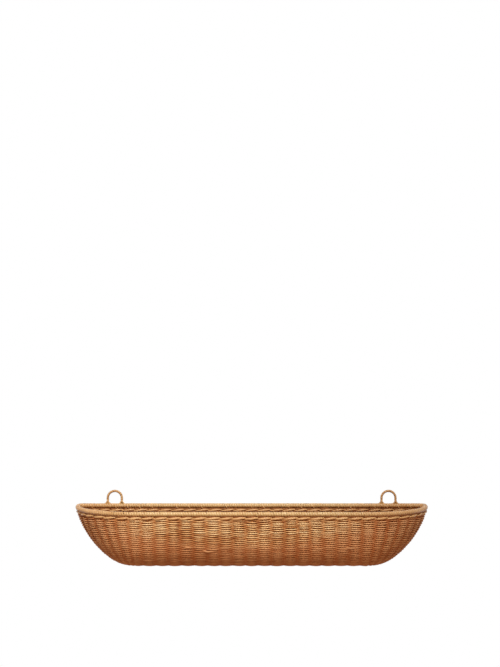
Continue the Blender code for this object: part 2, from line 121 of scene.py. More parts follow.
def round_sizes(depth):
    """Reach of the ends, span of the front and height of one round of the wall.

    The depth goes from 0 at the rim to 1 at the base's edge, and on to 2 at the
    base's back edge.
    """
    if depth <= 1:
        level = np.sin(depth * QUARTER_TURN) ** (2 / PROFILE_POWER)
        reach = BASE_END_REACH + (RIM_END_REACH - BASE_END_REACH) * bulge(level, END_POWER)
        span = BASE_SPAN + (RIM_SPAN - BASE_SPAN) * bulge(level, FRONT_POWER)
        return np.array([reach, span, RIM_Z - BODY_DROP * level])
    inward = depth - 1
    return np.array([BASE_END_REACH * (1 - inward), BASE_SPAN + (EDGE_RADIUS - BASE_SPAN) * inward, BASE_Z])


def depth_at_drop(drop):
    """Depth of the round that lies this far below the rim."""
    return np.arcsin((drop / BODY_DROP) ** (PROFILE_POWER / 2)) / QUARTER_TURN


TOP_DEPTH = depth_at_drop(WEAVE_TOP_DROP)


def round_slopes(depth):
    """How the sizes of a round change with depth."""
    low = max(depth - DEPTH_STEP, 0.0)
    return (round_sizes(depth + DEPTH_STEP) - round_sizes(low)) / (depth + DEPTH_STEP - low)


def edge_outward(depth):
    """Outward direction of the back wall's outline, level at the weaving's top."""
    reach, _, fall = round_slopes(depth)
    along = unit(np.array([-fall, 0.0, reach]))
    share = np.clip((depth - TOP_DEPTH) / LEVEL_BLEND, 0.0, 1.0)
    return unit(along * share + np.array([1.0, 0.0, 0.0]) * (1 - share))


def outline_point(depth):
    """Where a round passes from the rounded edge to the flat back wall."""
    reach, _, height = round_sizes(depth)
    return np.array([FRONT_HALF + reach, BACK_Y, height]) - edge_outward(depth) * EDGE_RADIUS


def wall_places(runs, depth, back_z=None):
    """Points and outward directions on the middle of the wall, for runs from the front's middle."""
    side = np.where(runs < 0, -1.0, 1.0)
    runs = np.abs(runs)
    reach, span, height = round_sizes(depth)
    reach_slope, span_slope, fall = round_slopes(depth)
    edge = edge_outward(depth)
    points = np.zeros((len(runs), 3))
    outward = np.zeros((len(runs), 3))

    front = runs <= FRONT_HALF
    points[front] = beside(runs[front], BACK_Y - span, height)
    outward[front] = unit(np.array([0.0, fall, span_slope]))

    end = (runs > FRONT_HALF) & (runs <= EDGE_RUN)
    turn = QUARTER_TURN - (runs[end] - FRONT_HALF) / END_RADIUS
    cos, sin = np.cos(turn), np.sin(turn)
    arm = span - EDGE_RADIUS
    points[end] = beside(FRONT_HALF + reach * cos, BACK_Y - EDGE_RADIUS - arm * sin, height)
    outward[end] = unit(beside(-fall * arm * cos, fall * reach * sin,
                               reach_slope * arm * cos ** 2 + span_slope * reach * sin ** 2))

    rounded = (runs > EDGE_RUN) & (runs <= BACK_RUN)
    turn = ((runs[rounded] - EDGE_RUN) / EDGE_RADIUS)[:, None]
    corner = np.array([FRONT_HALF + reach, BACK_Y, height])
    points[rounded] = (corner - edge * EDGE_RADIUS * (1 - np.cos(turn))
                       - BACKWARD * EDGE_RADIUS * (1 - np.sin(turn)))
    outward[rounded] = edge * np.cos(turn) + BACKWARD * np.sin(turn)

    flat = runs > BACK_RUN
    start = outline_point(depth)
    beyond = runs[flat] - BACK_RUN
    settled = ease(np.clip(beyond / SETTLE_RUN, 0.0, 1.0))
    target = start[2] if back_z is None else back_z
    points[flat] = beside(start[0] - beyond, BACK_Y, start[2] + (target - start[2]) * settled)
    outward[flat] = BACKWARD

    points[:, 0] *= side
    outward[:, 0] *= side
    return points, outward


def base_edge_places(xs, turn):
    """Points and outward directions on the rounded edge between the base and the back wall."""
    points = beside(xs, BACK_Y - EDGE_RADIUS * (1 - np.sin(turn)), BASE_Z + EDGE_RADIUS * (1 - np.cos(turn)))
    return points, np.tile(-UP * np.cos(turn) + BACKWARD * np.sin(turn), (len(xs), 1))


def lengths_along(points):
    """Length from the first point to each point of a line."""
    return np.concatenate([[0.0], np.cumsum(np.linalg.norm(np.diff(points, axis=0), axis=1))])


def ring_faces(count, sides, closed):
    """Faces between the rings of one strand, with a cap at each end unless it closes on itself."""
    steps = np.arange(count if closed else count - 1)
    low = (steps * sides)[:, None]
    high = ((steps + 1) % count * sides)[:, None]
    here = np.arange(sides)[None, :]
    after = (here + 1) % sides
    faces = beside(low + here, high + here, high + after, low + after).reshape(-1, 4).tolist()
    if not closed:
        faces.append(list(range(sides)))
        faces.append(list(range((count - 1) * sides, count * sides))[::-1])
    return faces


def tube(points, outward, radii, sides, closed=False, tone=0.5, start=0.0, spread=1.0, reach=0.0):
    """Points, faces and lay of one round or oval strand; the spread widens it along the wall.

    The lay holds, for each point, the length along the strand in metres, the share of
    the way round it, the strand's own tone and how far out of the wall it reaches. The
    share starts on the inner side.
    """
    if closed:
        along = np.roll(points, -1, axis=0) - np.roll(points, 1, axis=0)
    else:
        along = np.gradient(points, axis=0)
    along = unit(along)
    across = unit(np.cross(along, outward))
    lift = np.cross(across, along)
    count = len(points)
    radii = np.broadcast_to(np.asarray(radii, float).reshape(-1, 1, 1), (count, 1, 1))
    spread = np.broadcast_to(np.asarray(spread, float).reshape(-1, 1, 1), (count, 1, 1))
    turns = np.arange(sides) / sides
    cos = -np.cos(turns * 2 * np.pi)[None, :, None]
    sin = np.sin(turns * 2 * np.pi)[None, :, None]
    rings = points[:, None, :] + radii * (lift[:, None, :] * cos + across[:, None, :] * sin * spread)
    lengths = lengths_along(points) + start
    lay = beside(lengths[:, None], turns[None, :], tone, np.broadcast_to(reach, (count,))[:, None])
    return rings.reshape(-1, 3), ring_faces(count, sides, closed), lay.reshape(-1, 4)


def add_object(name, data):
    """A new object in the scene."""
    thing = bpy.data.objects.new(name, data)
    bpy.context.scene.collection.objects.link(thing)
    return thing


def make_piece(name, strands, material):
    """One mesh of many strands, with their lay as an attribute, riding on the basket."""
    points, faces, lays = [], [], []
    first = 0
    for strand_points, strand_faces, lay in strands:
        points.append(strand_points)
        lays.append(lay)
        faces += [[index + first for index in face] for face in strand_faces]
        first += len(strand_points)
    mesh = bpy.data.meshes.new(name)
    mesh.from_pydata(np.concatenate(points).tolist(), [], faces)
    mesh.shade_smooth()
    lays = np.concatenate(lays).astype(np.float32)
    mesh.attributes.new("lay", "FLOAT_VECTOR", "POINT").data.foreach_set("vector", lays[:, :3].ravel())
    mesh.attributes.new("reach", "FLOAT", "POINT").data.foreach_set("value", lays[:, 3].copy())
    mesh.materials.append(material)
    piece = add_object(name, mesh)
    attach(piece, "root")
    return piece


def feed(tree, node, values):
    """Sets a node's inputs to numbers and colours, or links other nodes' results to them."""
    for label, value in values.items():
        if isinstance(value, bpy.types.NodeSocket):
            tree.links.new(value, node.inputs[label])
        else:
            node.inputs[label].default_value = value


def add_node(tree, kind, values, **settings):
    """The results of a new shader node with these inputs and settings."""
    node = tree.nodes.new(kind)
    for label, setting in settings.items():
        setattr(node, label, setting)
    feed(tree, node, values)
    return node.outputs


def add_math(tree, operation, *values):
    """The result of one sum on numbers and other nodes' results."""
    return add_node(tree, "ShaderNodeMath", dict(enumerate(values)), operation=operation)[0]


def add_weighted(tree, value, weight):
    """A value about its middle, times a weight."""
    return add_math(tree, "MULTIPLY", add_math(tree, "SUBTRACT", value, 0.5), weight)


def add_range(tree, value, start, full, kind="LINEAR"):
    """A mask that goes from 0 to 1 as the value goes from its start to where it is full."""
    values = {"Value": value, "From Min": start, "From Max": full}
    return add_node(tree, "ShaderNodeMapRange", values, interpolation_type=kind)["Result"]


def new_group(name, vectors, numbers, results):
    """An empty group of shader nodes, its inputs and the node for its results."""
    group = bpy.data.node_groups.new(name, "ShaderNodeTree")
    for labels, way, kind in ((vectors, "INPUT", "NodeSocketVector"), (numbers, "INPUT", "NodeSocketFloat"),
                              (results, "OUTPUT", "NodeSocketFloat")):
        for label in labels:
            group.interface.new_socket(label, in_out=way, socket_type=kind)
    return group, group.nodes.new("NodeGroupInput").outputs, group.nodes.new("NodeGroupOutput")


STRAND_STEP = 61.0        # sets the fibres of one strand apart from the next one's


def make_fibre_group():
    """Long fibres of rattan: fine streaks along the strand, as a tone and as a height."""
    group, given, result = new_group(
        "rattan_fibre", ("Lay",), ("Along", "Around", "Contrast"), ("Tone", "Height"))
    lay = add_node(group, "ShaderNodeSeparateXYZ", {0: given["Lay"]})
    scales = {"X": given["Along"], "Y": given["Around"], "Z": STRAND_STEP}
    stretched = add_node(group, "ShaderNodeCombineXYZ", {
        axis: add_math(group, "MULTIPLY", lay[axis], scale) for axis, scale in scales.items()})
    streaks = add_node(group, "ShaderNodeTexNoise", {
        "Vector": stretched[0], "Scale": 1.0, "Detail": 3.0, "Roughness": 0.6})["Fac"]
    feed(group, result, {"Tone": add_weighted(group, streaks, given["Contrast"]), "Height": streaks})
    return group


TOUCH_START = 0.42        # way round a strand, with 0.5 for its outer side
TOUCH_FULL = 0.2


def make_tone_group():
    """How light a strand is: its own shade and the basket's patches, with painted shade where it touches
    others.
    """
    group, given, result = new_group(
        "rattan_tone", ("Lay", "Place"), ("Strand", "Patch Scale", "Patch", "Touch Shade"), ("Tone",))
    lay = add_node(group, "ShaderNodeSeparateXYZ", {0: given["Lay"]})
    patches = add_node(group, "ShaderNodeTexNoise", {
        "Vector": given["Place"], "Scale": given["Patch Scale"], "Detail": 2.0})["Fac"]
    own = add_weighted(group, lay["Z"], given["Strand"])
    mixed = add_math(group, "ADD", own, add_weighted(group, patches, given["Patch"]))
    # Painted shade: a strand is darker on its sides, where it lies against its neighbours.
    touch = add_range(group, add_math(group, "PINGPONG", lay["Y"], 0.5), TOUCH_START, TOUCH_FULL)
    touch_shade = add_math(group, "MULTIPLY", touch, given["Touch Shade"])
    feed(group, result, {"Tone": add_math(group, "SUBTRACT", mixed, touch_shade)})
    return group


TINT_MIDDLE_X = -0.02     # the painted shade towards the base and the ends starts round this place on the rim
TINT_REACH = 0.35
TINT_DROP = 0.085
TINT_SPAN = 1000.0        # so wide that the front and the back are tinted alike
TINT_START = 0.55


def make_low_shade_group():
    """A mask of 0 round the middle of the rim and 1 towards the base and the ends, for painted shade there.
    """
    group, given, result = new_group("low_shade_mask", ("Place",), (), ("Low",))
    around = add_node(group, "ShaderNodeMapping", {
        "Vector": given["Place"], "Location": (TINT_MIDDLE_X, 0.0, RIM_Z),
        "Scale": (TINT_REACH, TINT_SPAN, TINT_DROP)}, vector_type="TEXTURE")
    away = add_node(group, "ShaderNodeVectorMath", {0: around["Vector"]}, operation="LENGTH")
    feed(group, result, {"Low": add_range(group, away["Value"], TINT_START, 1.0, "SMOOTHSTEP")})
    return group


UNDERSIDE_SHADE_START = 0.05        # upward share of the direction that a face looks in
UNDERSIDE_SHADE_FULL = -0.6


def make_underside_shade_group():
    """A mask of 1 on the faces that look down, for painted shade on the undersides."""
    group, given, result = new_group("underside_shade_mask", ("Normal",), (), ("Under",))
    facing = add_node(group, "ShaderNodeSeparateXYZ", {0: given["Normal"]})
    feed(group, result, {"Under": add_range(group, facing["Z"], UNDERSIDE_SHADE_START, UNDERSIDE_SHADE_FULL)})
    return group


def add_tint(tree, colours, mask, tint):
    """The colours times a tint, where the mask says so."""
    values = {"Factor": mask, "A": colours, "B": (*tint, 1.0)}
    return add_node(tree, "ShaderNodeMix", values, data_type="RGBA", blend_type="MULTIPLY")["Result"]


fibre_group, tone_group = make_fibre_group(), make_tone_group()
low_shade_group, underside_shade_group = make_low_shade_group(), make_underside_shade_group()

RELIEF_SHADE_MIDDLE = 0.6          # reach at which the painted light and shade of the relief change nothing
GLOSS_SPREAD = 0.35       # how much the fibres vary the roughness
GLOSSY_BELOW = 0.5
CANE_SHINE = 0.45
DULL_SHINE = 0.15


def rattan_material(name, shades, roughness, fibre, patch, strand, bump, touch_shade=0.0, relief_shade=0.0,
                    low_shade_tint=None, low_calm=0.0, underside_shade_tint=None):
    """Rattan or cane: shades from dark to light, picked by strand, patch and fibre.

    The fibre holds the streaks' scale along and around the strand and their contrast;
    the patch holds the scale and the weight of the slow changes over the basket. The
    touch shade is painted shade that darkens a strand where it lies against its
    neighbours, and the relief shade is painted light and shade that makes it paler where
    it stands proud and darker where it lies back. The low shade tint is painted shade,
    darker and redder towards the base and the ends, where the low calm evens its shades,
    and the underside shade tint is painted shade on its faces that look down.
    """
    material = bpy.data.materials.new(name)
    material.use_nodes = True
    tree = material.node_tree
    lay = add_node(tree, "ShaderNodeAttribute", {}, attribute_name="lay")["Vector"]
    place = add_node(tree, "ShaderNodeTexCoord", {})["Object"]
    fibres = add_node(tree, "ShaderNodeGroup", {
        "Lay": lay, "Along": fibre[0], "Around": fibre[1], "Contrast": fibre[2]}, node_tree=fibre_group)
    tones = add_node(tree, "ShaderNodeGroup", {
        "Lay": lay, "Place": place, "Strand": strand, "Patch Scale": patch[0], "Patch": patch[1],
        "Touch Shade": touch_shade}, node_tree=tone_group)
    tone = add_math(tree, "ADD", tones["Tone"], fibres["Tone"])
    if low_shade_tint:
        low = add_node(tree, "ShaderNodeGroup", {"Place": place}, node_tree=low_shade_group)["Low"]
        tone = add_math(tree, "MULTIPLY", tone, add_math(tree, "MULTIPLY_ADD", low, -low_calm, 1.0))
    # Painted light and shade: a weaver is paler where it stands proud and darker where it lies back in the
    # wall.
    if relief_shade:
        reach = add_node(tree, "ShaderNodeAttribute", {}, attribute_name="reach")["Fac"]
        tone = add_math(tree, "ADD", tone, add_math(tree, "MULTIPLY_ADD", reach, relief_shade, -relief_shade * RELIEF_SHADE_MIDDLE))
    ramp = tree.nodes.new("ShaderNodeValToRGB")
    stops = ramp.color_ramp.elements
    while len(stops) < len(shades):
        stops.new(0.5)
    for stop, (position, colour) in zip(stops, shades):
        stop.position = position
        stop.color = (*colour, 1.0)
    feed(tree, ramp, {"Fac": add_math(tree, "ADD", tone, 0.5)})
    colours = ramp.outputs["Color"]
    # Painted shade: darker and redder towards the base and the ends.
    if low_shade_tint:
        colours = add_tint(tree, colours, low, low_shade_tint)
    # Painted shade: darker on the faces that look down.
    if underside_shade_tint:
        normal = add_node(tree, "ShaderNodeNewGeometry", {})["Normal"]
        under = add_node(tree, "ShaderNodeGroup", {"Normal": normal}, node_tree=underside_shade_group)["Under"]
        colours = add_tint(tree, colours, under, underside_shade_tint)
    height = fibres["Height"]
    relief = add_node(tree, "ShaderNodeBump", {"Strength": bump[0], "Distance": bump[1], "Height": height})
    feed(tree, tree.nodes["Principled BSDF"], {
        "Base Color": colours,
        "Roughness": add_math(tree, "MULTIPLY_ADD", height, GLOSS_SPREAD, roughness - GLOSS_SPREAD / 2),
        "Specular IOR Level": CANE_SHINE if roughness < GLOSSY_BELOW else DULL_SHINE,
        "Normal": relief["Normal"]})
    return material


# The stakes' colours are kept darker than the weavers', as painted shade for the gaps of the weaving where
# they show.
stake_material = rattan_material(
    "stake_rattan",
    [(0.2, (0.26, 0.082, 0.024)), (0.55, (0.50, 0.19, 0.06)), (0.9, (0.66, 0.31, 0.11))],
    roughness=0.6, fibre=(25.0, 8.0, 0.5), patch=(14.0, 0.4), strand=0.4, bump=(0.35, 0.0003))

STAKE_SIDES = 8
STAKE_SPREAD = 1.6        # the weaving presses the stakes oval
STAKE_TOP_DROP = 0.0056
STAKE_SWELL = 0.03
STAKE_SWELL_RATE = 1.7    # by point
ANY_PHASE = 6.0           # about a whole turn, for waves that may start anywhere
SWAY = 0.0009             # how far a stake wanders from its even place
SWAY_OFFSET = 0.6
SWAY_RATES = (1.5, 4.5)
FAN_CALM = 0.8            # the fan stakes sway less towards the base
FAN_SWAY_LEAST = 0.1
DOWN_STEPS = 22
EDGE_STEPS = 9
RISE_STEPS = 10
SIDE_STEPS = 6
rng = np.random.default_rng(41)

stake_numbers = np.arange(-CORNER_NUMBER - 1, CORNER_NUMBER + 2)
even_runs = np.interp(np.abs(stake_numbers), [0, STRAIGHT_GAPS, CORNER_NUMBER + 1],
                      [0.0, FRONT_HALF, CORNER_RUN + FAN_PITCH]) * np.sign(stake_numbers)
sway_offsets = rng.normal(0.0, SWAY_OFFSET, len(stake_numbers))
sway_phases = rng.uniform(0.0, ANY_PHASE, len(stake_numbers))
sway_rates = rng.uniform(*SWAY_RATES, len(stake_numbers))


def stake_runs(travel):
    """Runs of all stakes; the travel is 0 at the rim, 1 to 2 on the base, 3 up the back."""
    sway = SWAY * (sway_offsets + np.sin(sway_rates * travel + sway_phases))
    fan_sway = max(1.0 - FAN_CALM * travel, FAN_SWAY_LEAST)
    return even_runs + sway * np.where(np.abs(stake_numbers) > STRAIGHT_GAPS, fan_sway, 1.0)


def stake_run(number, travel):
    """Run of one stake, counted from the front's middle."""
    return stake_runs(travel)[number + CORNER_NUMBER + 1]


def wall_line(number, depths):
    """Places down the wall along one stake."""
    places = [wall_places(np.array([stake_run(number, depth)]), depth) for depth in depths]
    return np.concatenate([point for point, _ in places]), np.concatenate([out for _, out in places])


def stake_strand(points, outward):
    """One stake, a little uneven in thickness."""
    swell = np.sin(np.arange(len(points)) * STAKE_SWELL_RATE + rng.uniform(0, ANY_PHASE))
    return tube(points, outward, STAKE_RADIUS * (1 + STAKE_SWELL * swell), STAKE_SIDES,
                tone=rng.uniform(0, 1), start=rng.uniform(0, 2), spread=STAKE_SPREAD)


stake_depths = np.linspace(depth_at_drop(STAKE_TOP_DROP), 1.0, DOWN_STEPS)
edge_turns = np.linspace(0.0, QUARTER_TURN, EDGE_STEPS)
BACK_LOW_Z = BASE_Z + EDGE_RADIUS
BACK_RISE = RIM_Z - STAKE_TOP_DROP - BACK_LOW_Z
straight_strands = []
for number in range(-STRAIGHT_GAPS, STRAIGHT_GAPS + 1):
    down, down_out = wall_line(number, stake_depths)
    bends = [base_edge_places(np.array([stake_run(number, 2.0)]), turn) for turn in edge_turns]
    back = np.array([[stake_run(number, 2.0 + rise), BACK_Y, BACK_LOW_Z + BACK_RISE * rise]
                     for rise in np.linspace(0.0, 1.0, RISE_STEPS)[1:]])
    points = np.concatenate([down] + [point for point, _ in bends] + [back])
    outward = np.concatenate([down_out] + [out for _, out in bends] + [np.tile(BACKWARD, (len(back), 1))])
    straight_strands.append(stake_strand(points, outward))
straight_stakes = make_piece("straight_stakes", straight_strands, stake_material)
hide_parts(*[f"straight_stake_{number:02d}" for number in range(1, 2 * STRAIGHT_GAPS + 2)])

fan_strands = []
for side in (-1, 1):
    for number in range(1, FAN_GAPS + 1):
        fan_strands.append(stake_strand(*wall_line(side * (STRAIGHT_GAPS + number), stake_depths)))
fan_stakes = make_piece("fan_stakes", fan_strands, stake_material)
for side in ("left", "right"):
    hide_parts(f"{side}_corner_stake",
                *[f"{side}_fan_stake_{number}" for number in range(1, FAN_GAPS)])

side_strands = []
for side in ("left", "right"):
    for number in range(1, SIDE_GAPS):
        low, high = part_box(f"{side}_side_stake_{number}")
        points = beside((low.x + high.x) / 2, BACK_Y, np.linspace(high.z, low.z, SIDE_STEPS))
        side_strands.append(stake_strand(points, np.tile(BACKWARD, (SIDE_STEPS, 1))))
side_stakes = make_piece("side_stakes", side_strands, stake_material)
for side in ("left", "right"):
    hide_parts(*[f"{side}_side_stake_{number}" for number in range(1, SIDE_GAPS)])


# Weaving of the body
# Fine round core, about 2.5 mm thick, over one stake and under the next, in rounds that
# run along the front, about the ends and across the back. Rounds that only the longer
# front has room for turn back inside the back wall. The base is filled the same way.

WEAVER_RADIUS = 0.00128
WEAVER_SIDES = 8
WEAVER_VARIES = 0.045     # share by which one weaver is thicker or thinner than the next
WEAVER_SWELL = 0.05
WEAVER_SWELL_RATES = (20, 60)
WEAVER_TONE_VARIES = 0.24
PITCH_DEPTHS = (0.08, 0.28, 0.45)
WEAVER_PITCHES = (0.00235, 0.00255, 0.00290)    # the rounds lie closer near the rim
FRONT_WEIGHT = 0.65       # the pitch is measured more on the front than at the ends
TABLE_STEPS = 1200
BACK_PITCH = 0.00245
BACK_SAG = 0.0012         # the back's top lies this much lower than the front's
BACK_CLOSE = 1.3          # the back's weavers lie a little flatter than their pitch asks
OVERLAP_DEPTHS = (0.15, 0.5)
WEAVER_OVERLAPS = (1.20, 1.50)                  # width of a weaver as a share of its room
WEAVER_SPREAD = 0.22      # how much wider a weaver lies on a stake than between two
INNER_SPREAD = 0.85       # the same behind a stake, where it is pressed flat
INNER_RATE = 4            # how soon it is pressed as flat as it gets
WEAVE_SWING = 0.0026
SWING_DEPTHS = (0.0775, 0.0925, 0.107, 0.15, 0.5)
SWING_SHARES = (0.15, 0.65, 1.0, 1.0, 0.48)     # the first two rounds are held in, the low ones flatter
SWING_VARIES = 0.09
BACK_DEPTH = 0.1          # the back wall's swing is that of this depth
SHORT_PITCH = 0.013       # stakes nearer than this leave a weaver less swing
LEAST_SWING = 0.25
CORNER_PULL = 0.6
CORNER_REACH = 0.02
TUCK_START = 0.004        # past the edge's start a turning weaver lies inside
TUCK_LENGTH = 0.003
TAIL_RUN = 0.028          # a weaver that turns back leaves its tail inside the back wall
TAIL_STEP = 0.004
BASE_TAIL_RUN = 0.004
LOW_DEPTH = 0.9           # below this depth such a weaver ends at the corner stake
STEPS_PER_GAP = 10
CORNER_STEPS = 4
BACK_STEP = 0.0036
WANDER = 0.00012          # slow waves of a weaver along its round
WANDER_RATES = (8, 20)
CROWD = 0.00011           # uneven pressing of the rounds, from stake to stake
CROSSING_STRAY = 0.05     # in stake pitches
STRAY_CALM = 0.7
STRAY_LEAST = 0.2
DRIFT = 0.0006
DRIFT_DEPTH = 0.15
DRIFT_FADE = 0.03
DRIFT_WAVES = ((2.3, 5.0, 0.4), (1.4, -7.0, 2.0), (0.6, 3.0, 1.1))    # rate by stake, slope by depth, start
ROW_SHIFT = 0.1           # lifts every weaver by this share of the pitch
SLIP_DEPTH = 0.0062       # depth within which a weaver counts as the slipped one
SLIP_LENGTH = 0.009
SLIP_SLIDE = 0.4
SLIPS = ((0.444, -0.140, 0.0034), (0.492, -0.100, 0.0028), (0.60, 0.155, 0.0026), (0.44, 0.21, 0.0020))

# The weavers get painted shade where they touch, where they lie back and towards the base and ends, and
# painted light where they stand proud.
weaver_material = rattan_material(
    "fine_weavers",
    [(0.0, (0.22, 0.055, 0.014)), (0.3, (0.58, 0.25, 0.08)), (0.5, (0.91, 0.59, 0.28)),
     (0.75, (0.96, 0.71, 0.40)), (1.0, (0.98, 0.79, 0.52))],
    roughness=0.7, fibre=(34.0, 5.0, 1.1), patch=(11.0, 0.5), strand=0.3, bump=(0.4, 0.0003),
    touch_shade=0.80, relief_shade=0.30, low_shade_tint=(0.76, 0.565, 0.515), low_calm=0.75)


def row_table():
    """Depths down the wall and under the base, with the number of weavers down to each."""
    depths = np.linspace(TOP_DEPTH, 2.0, TABLE_STEPS)
    steps = np.diff(np.array([round_sizes(depth) for depth in depths]), axis=0)
    front = np.hypot(steps[:, 1], steps[:, 2])
    end = np.hypot(steps[:, 0], steps[:, 2])
    pitches = np.interp(depths[1:], PITCH_DEPTHS, WEAVER_PITCHES)
    weavers = (FRONT_WEIGHT * front + (1 - FRONT_WEIGHT) * end) / pitches
    return depths, np.concatenate([[0.0], np.cumsum(weavers)])


def row_room(runs, depth):
    """Width of a weaver at each run, which goes a little past its own room."""
    index = np.searchsorted(row_depths, depth)
    upper, _ = wall_places(runs, row_depths[max(index - 1, 0)])
    lower, _ = wall_places(runs, row_depths[min(index + 1, len(row_depths) - 1)])
    return np.linalg.norm(upper - lower, axis=1) / 2 * np.interp(depth, OVERLAP_DEPTHS, WEAVER_OVERLAPS)


def stake_count(runs, travel):
    """Which stake a run is at, counted from the front's middle."""
    return np.interp(runs, stake_runs(travel), stake_numbers)


def back_count(xs, travel):
    """Which stake a place on the back wall is at, counted from its middle."""
    straight = stake_runs(travel)[FAN_GAPS + 1:-FAN_GAPS - 1]
    sides = np.linspace(FRONT_HALF, CORNER_X, SIDE_GAPS + 1)[1:]
    marks = np.concatenate([-sides[::-1], straight, sides])
    return np.interp(xs, marks, np.arange(-STRAIGHT_GAPS - SIDE_GAPS, STRAIGHT_GAPS + SIDE_GAPS + 1))


def half_runs():
    """Runs from the front's middle to the back wall's outline, for the samples of a weaver."""
    front = np.linspace(0.0, FRONT_HALF, STRAIGHT_GAPS * STEPS_PER_GAP + 1)
    end = np.linspace(FRONT_HALF, CORNER_RUN, FAN_GAPS * STEPS_PER_GAP + 1)[1:]
    corner = np.linspace(CORNER_RUN, BACK_RUN, CORNER_STEPS)[1:]
    return np.concatenate([front, end, corner])


def uneven(positions, count, size):
    """A small random amount at each whole position, and straight lines between them."""
    values = rng.normal(0.0, size, 2 * count + 1)
    return np.interp(positions, np.arange(-count, count + 1), values)


def wander(runs):
    """A slow wave along one weaver."""
    return WANDER * np.sin(runs * rng.uniform(*WANDER_RATES) + rng.uniform(0, ANY_PHASE))


def lay_weaver(points, outward, weave, shift, closed, room):
    """One weaver through wall places, swung in and out and shifted along the wall.

    Where the room between the rounds is wider than the weaver, it lies flatter.
    """
    along = np.gradient(points, axis=0)
    across = unit(np.cross(unit(along), outward))
    centre = points + outward * weave[:, None] + across * shift[:, None]
    thickness = WEAVER_RADIUS * (1 + rng.normal(0, WEAVER_VARIES))
    wave = np.linspace(0, rng.uniform(*WEAVER_SWELL_RATES), len(points)) + rng.uniform(0, ANY_PHASE)
    flat = np.maximum(1.0, room / (2 * WEAVER_RADIUS))
    share = weave / WEAVE_SWING
    outer = np.clip(share, 0, 1)
    spread = flat * (1 + WEAVER_SPREAD * outer + INNER_SPREAD * np.clip(-INNER_RATE * share, 0, 1))
    return tube(centre, outward, thickness * (1 + WEAVER_SWELL * np.sin(wave)), WEAVER_SIDES, closed,
                tone=np.clip(rng.normal(0.5, WEAVER_TONE_VARIES), 0, 1), start=rng.uniform(0, 5),
                spread=spread, reach=outer)


def swing_room(points, runs):
    """Share of the full swing that the stakes leave a weaver; it is pulled tight at the corner."""
    gaps = np.linalg.norm(np.diff(points, axis=0), axis=1) * STEPS_PER_GAP
    gaps = np.concatenate([gaps[:1], gaps])
    tight = 1 - CORNER_PULL * np.exp(-((np.abs(runs) - CORNER_RUN) / CORNER_REACH) ** 2)
    return np.clip(gaps / SHORT_PITCH, LEAST_SWING, 1.0) * tight


def crossing(counts, most, depth):
    """Share of the swing at each place; the crossings stray a little, less so low on the wall."""
    stray = CROSSING_STRAY * max(1.0 - STRAY_CALM * depth, STRAY_LEAST)
    swing = np.cos(np.pi * (counts + uneven(counts, most, stray)))
    return np.interp(depth, SWING_DEPTHS, SWING_SHARES) * swing


def drift(numbers, runs, depth):
    """How far the rounds at this depth run over or under their level, about the front and ends."""
    waves = sum(np.sin(rate * numbers + slope * depth + start) for rate, slope, start in DRIFT_WAVES)
    fade = np.clip((EDGE_RUN - np.abs(runs)) / DRIFT_FADE, 0, 1)
    return DRIFT * waves * min(depth / DRIFT_DEPTH, 1.0) * fade


def add_slips(depth, runs, weave, shift):
    """Lifts a weaver off the wall where it has slipped."""
    for slip_depth, slip_run, lift in SLIPS:
        if abs(depth - slip_depth) < SLIP_DEPTH:
            along = (runs - slip_run) / SLIP_LENGTH
            hump = np.exp(-along ** 2)
            weave += lift * hump
            shift += lift * hump * along * SLIP_SLIDE


def short_round(depth, parity, limit):
    """A weaver that turns back near the corner stakes and tucks its ends inside."""
    half = half_runs()
    half = np.concatenate([half[half <= limit], np.arange(BACK_RUN + TAIL_STEP, limit, TAIL_STEP)])
    runs = np.concatenate([-half[:0:-1], half])
    points, outward = wall_places(runs, depth)
    counts = stake_count(runs, depth)
    most = CORNER_NUMBER + 1
    weave = parity * WEAVE_SWING * crossing(counts, most, depth) * swing_room(points, runs)
    weave = weave * (1 + uneven(counts, most, SWING_VARIES))
    weave = np.where(np.abs(runs) > EDGE_RUN + TUCK_START, -WEAVE_SWING, weave)
    shift = uneven(counts, most, CROWD) + wander(runs) + drift(counts, runs, depth)
    add_slips(depth, runs, weave, shift)
    return lay_weaver(points, outward, weave, shift, False, row_room(runs, depth))


def full_round(depth, parity, back_z):
    """A weaver that runs on across the back wall and closes on itself."""
    half = half_runs()
    outline_x = outline_point(depth)[0]
    across = np.linspace(0.0, outline_x, max(int(outline_x / BACK_STEP), 2) + 1)[1:]
    half = np.concatenate([half, BACK_RUN + across])
    runs = np.concatenate([-half[-2:0:-1], half])
    points, outward = wall_places(runs, depth, back_z)
    most = CORNER_NUMBER + STRAIGHT_GAPS + SIDE_GAPS + 1
    fronts = stake_count(runs, depth)
    backs = back_count(points[:, 0], 2.0 + (back_z - BACK_LOW_Z) / BACK_RISE)
    ahead = np.abs(runs) <= CORNER_RUN
    numbers = np.where(ahead, fronts, np.where(runs < 0, -1, 1) * (most - 1 - np.abs(backs)))
    front_weave = parity * crossing(fronts, most, depth)
    back_weave = parity * TURN_SIGN * crossing(backs, most, BACK_DEPTH)
    past = ease(np.clip((np.abs(runs) - EDGE_RUN) / (BACK_RUN - EDGE_RUN), 0.0, 1.0))
    weave = WEAVE_SWING * (front_weave * (1 - past) + back_weave * past)
    weave = weave * np.where(ahead, swing_room(points, runs), 1.0) * (1 + uneven(numbers, most, SWING_VARIES))
    shift = uneven(numbers, most, CROWD) + wander(runs) + drift(numbers, runs, depth)
    add_slips(depth, runs, weave, shift)
    room = np.where(np.abs(runs) <= BACK_RUN, row_room(runs, depth), BACK_PITCH * BACK_CLOSE)
    return lay_weaver(points, outward, weave, shift, True, room)


def parity_of(row):
    """Whether a round starts over or under the middle stake."""
    return 1 if row % 2 == 0 else -1


